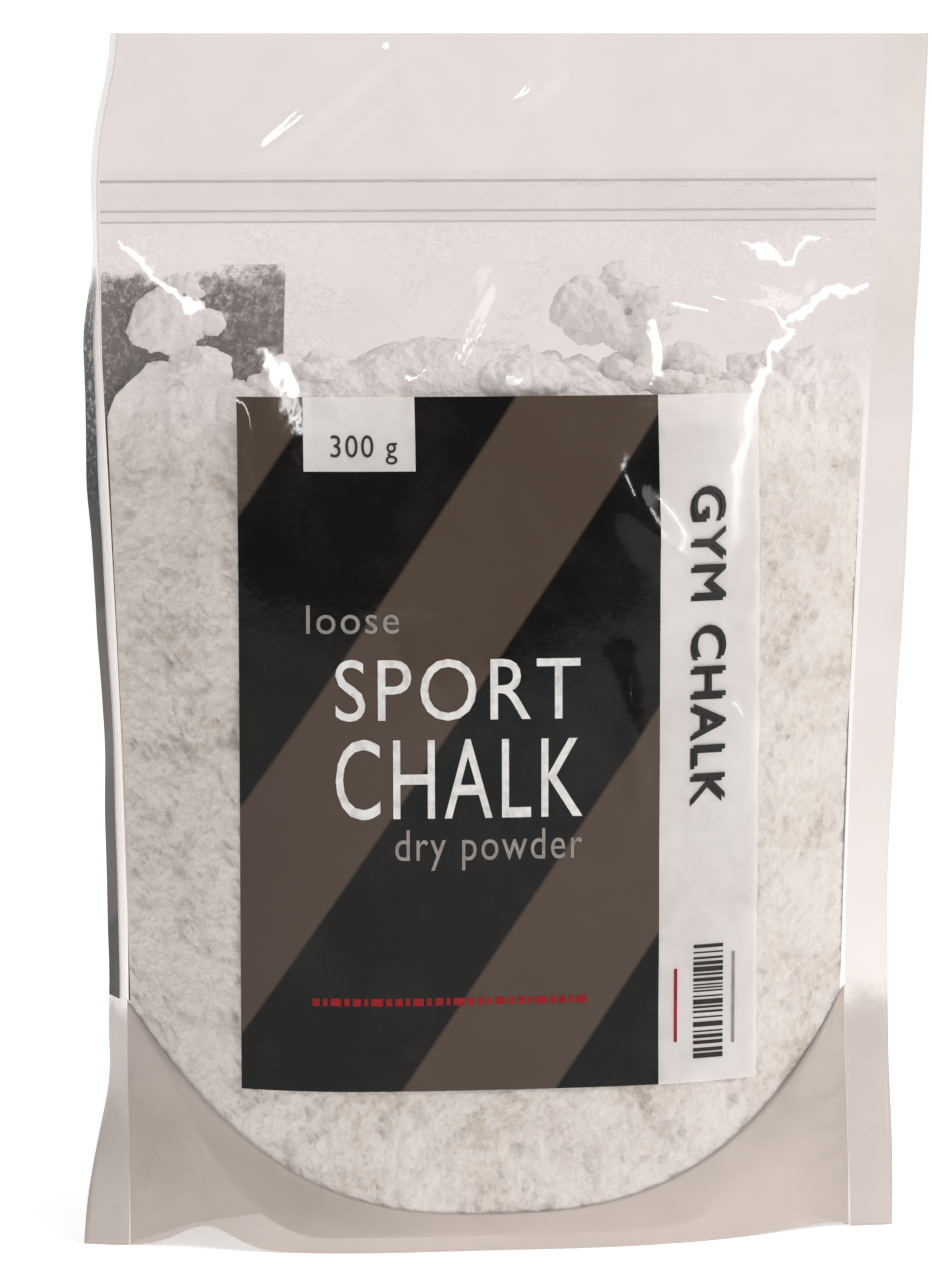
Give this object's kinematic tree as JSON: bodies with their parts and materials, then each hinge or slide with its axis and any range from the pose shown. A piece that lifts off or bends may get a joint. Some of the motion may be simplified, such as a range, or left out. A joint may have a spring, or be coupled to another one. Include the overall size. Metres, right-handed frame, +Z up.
{
  "type": "resealable pouch of loose chalk",
  "caption": "Clear resealable stand-up pouch of loose white chalk with lumps, a dark front label, a press-to-close zipper and a folded bottom gusset.",
  "frame": {"origin": "middle of the pouch's outline seen from above, on the surface that it stands on", "axes": "+Z up, +X to the right as seen from the labelled front, the front faces -Y"},
  "size_m": [0.1824, 0.0462, 0.26],
  "materials": {
    "pouch_film": "clear glossy laminated film, slightly hazy",
    "zipper_plastic": "clear extruded polyethylene",
    "label_print": "glossy printed film, dark brown and black with a pale strip",
    "label_dark": "glossy printed film, dark",
    "chalk": "dry matt powder with soft lumps"
  },
  "bodies": {
    "pouch": {"front_panel": "pouch_film", "back_panel": "pouch_film", "bottom_gusset": "pouch_film", "left_side_seal": "pouch_film", "right_side_seal": "pouch_film", "front_label": "label_print", "back_label": "label_dark", "chalk_powder": "chalk", "row_lump_1": "chalk", "row_lump_2": "chalk", "row_lump_4": "chalk", "row_lump_5": "chalk", "row_lump_6": "chalk", "crumbs": "chalk"},
    "front_mouth": {"front_lip": "pouch_film", "groove_strip": "zipper_plastic"},
    "back_mouth": {"back_lip": "pouch_film", "rib_strip": "zipper_plastic"},
    "left_chunk": {"left_lump": "chalk"},
    "right_chunk": {"right_lump": "chalk"},
    "middle_chunk": {"row_lump_3": "chalk"}
  },
  "joints": [
    {"name": "front_lip_bend", "type": "hinge", "parent": "pouch", "child": "front_mouth", "pos_m": [0, -0.0147, 0.19], "axis": [1, 0, 0], "range_deg": [0, 24]},
    {"name": "back_lip_bend", "type": "hinge", "parent": "pouch", "child": "back_mouth", "pos_m": [0, 0.0147, 0.19], "axis": [-1, 0, 0], "range_deg": [0, 24]},
    {"name": "left_lump_lift", "type": "slide", "parent": "pouch", "child": "left_chunk", "axis": [0, 0, 1], "range_m": [0, 0.003]},
    {"name": "right_lump_lift", "type": "slide", "parent": "pouch", "child": "right_chunk", "axis": [0, 0, 1], "range_m": [0, 0.003]},
    {"name": "middle_lump_lift", "type": "slide", "parent": "pouch", "child": "middle_chunk", "axis": [0, 0, 1], "range_m": [0, 0.003]}
  ],
  "couplings": [
    {"joint": "back_lip_bend", "follows": "front_lip_bend", "ratio": 1}
  ]
}
